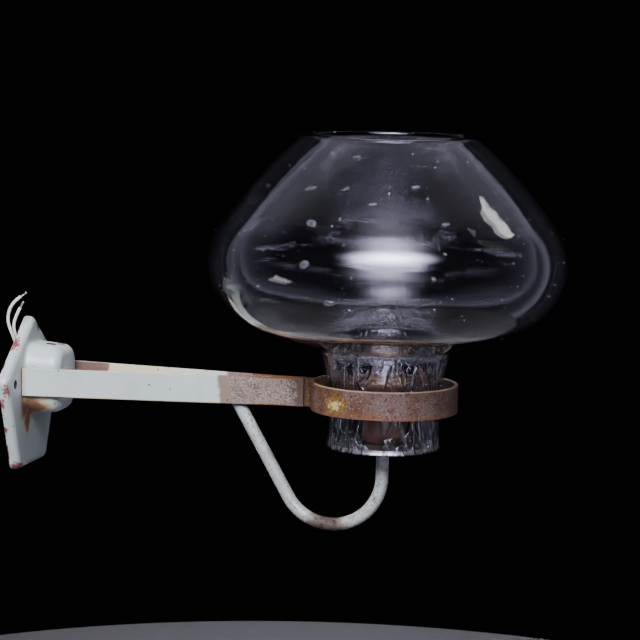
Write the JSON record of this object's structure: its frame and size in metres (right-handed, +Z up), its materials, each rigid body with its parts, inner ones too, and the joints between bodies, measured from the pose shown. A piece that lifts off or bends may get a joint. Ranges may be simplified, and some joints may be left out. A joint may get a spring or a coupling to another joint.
{
  "type": "bracket wall lamp",
  "caption": "Bracket wall lamp: pressed wall plate, flat arms with a ring, bent tube with a screw lamp holder, and a lift-off blown glass shade open at the top.",
  "frame": {"origin": "on the wall plane, midway between the two wall screw holes", "axes": "+X out of the wall, +Z up, +Y to the right for someone facing the wall"},
  "size_m": [0.4401, 0.2795, 0.3109],
  "materials": {
    "plate_lacquer": "white lacquer, chipped and stained",
    "arm_lacquer": "white lacquer, worn towards the ring",
    "worn_band": "bare and rusty with remains of lacquer",
    "tube_lacquer": "grey-white lacquer, worn at the lower bend",
    "plated_steel": "dull zinc plating",
    "bubble_glass": "clear blown glass with bubbles",
    "bakelite": "dark brown bakelite",
    "porcelain": "glazed white porcelain",
    "brass": "dull brass",
    "white_pvc": "white soft plastic insulation",
    "tinned_copper": "tinned copper wire"
  },
  "bodies": {
    "bracket": {"wall_plate": "plate_lacquer", "left_arm": "arm_lacquer", "right_arm": "arm_lacquer", "ring_band": "worn_band", "stem_tube": "tube_lacquer", "stem_collar": "plated_steel", "stem_washer": "plated_steel", "stem_nut": "plated_steel", "cable_bush": "white_pvc", "plate_nut": "plated_steel", "shade_plate": "plated_steel", "holder_cap": "bakelite", "holder_body": "bakelite", "holder_insert": "porcelain", "screw_shell": "brass", "contact_foot": "brass", "contact_rivet": "brass", "terminal_blocks": "brass", "terminal_screws": "brass", "grub_screw": "plated_steel", "inner_lead_a": "white_pvc", "inner_lead_b": "white_pvc", "lead_a_tail": "white_pvc", "lead_b_tail": "white_pvc", "lead_a_core": "tinned_copper", "lead_b_core": "tinned_copper"},
    "shade": {"glass_shade": "bubble_glass"},
    "contact": {"centre_contact": "brass"}
  },
  "joints": [
    {"name": "shade_lift", "type": "slide", "parent": "bracket", "child": "shade", "axis": [0, 0, 1], "range_m": [0, 0.12]},
    {"name": "contact_press", "type": "hinge", "parent": "bracket", "child": "contact", "pos_m": [0.2879, 0, -0.0117], "axis": [0, 1, 0], "range_deg": [0, 10], "stiffness_Nm_per_rad": 0.1}
  ]
}
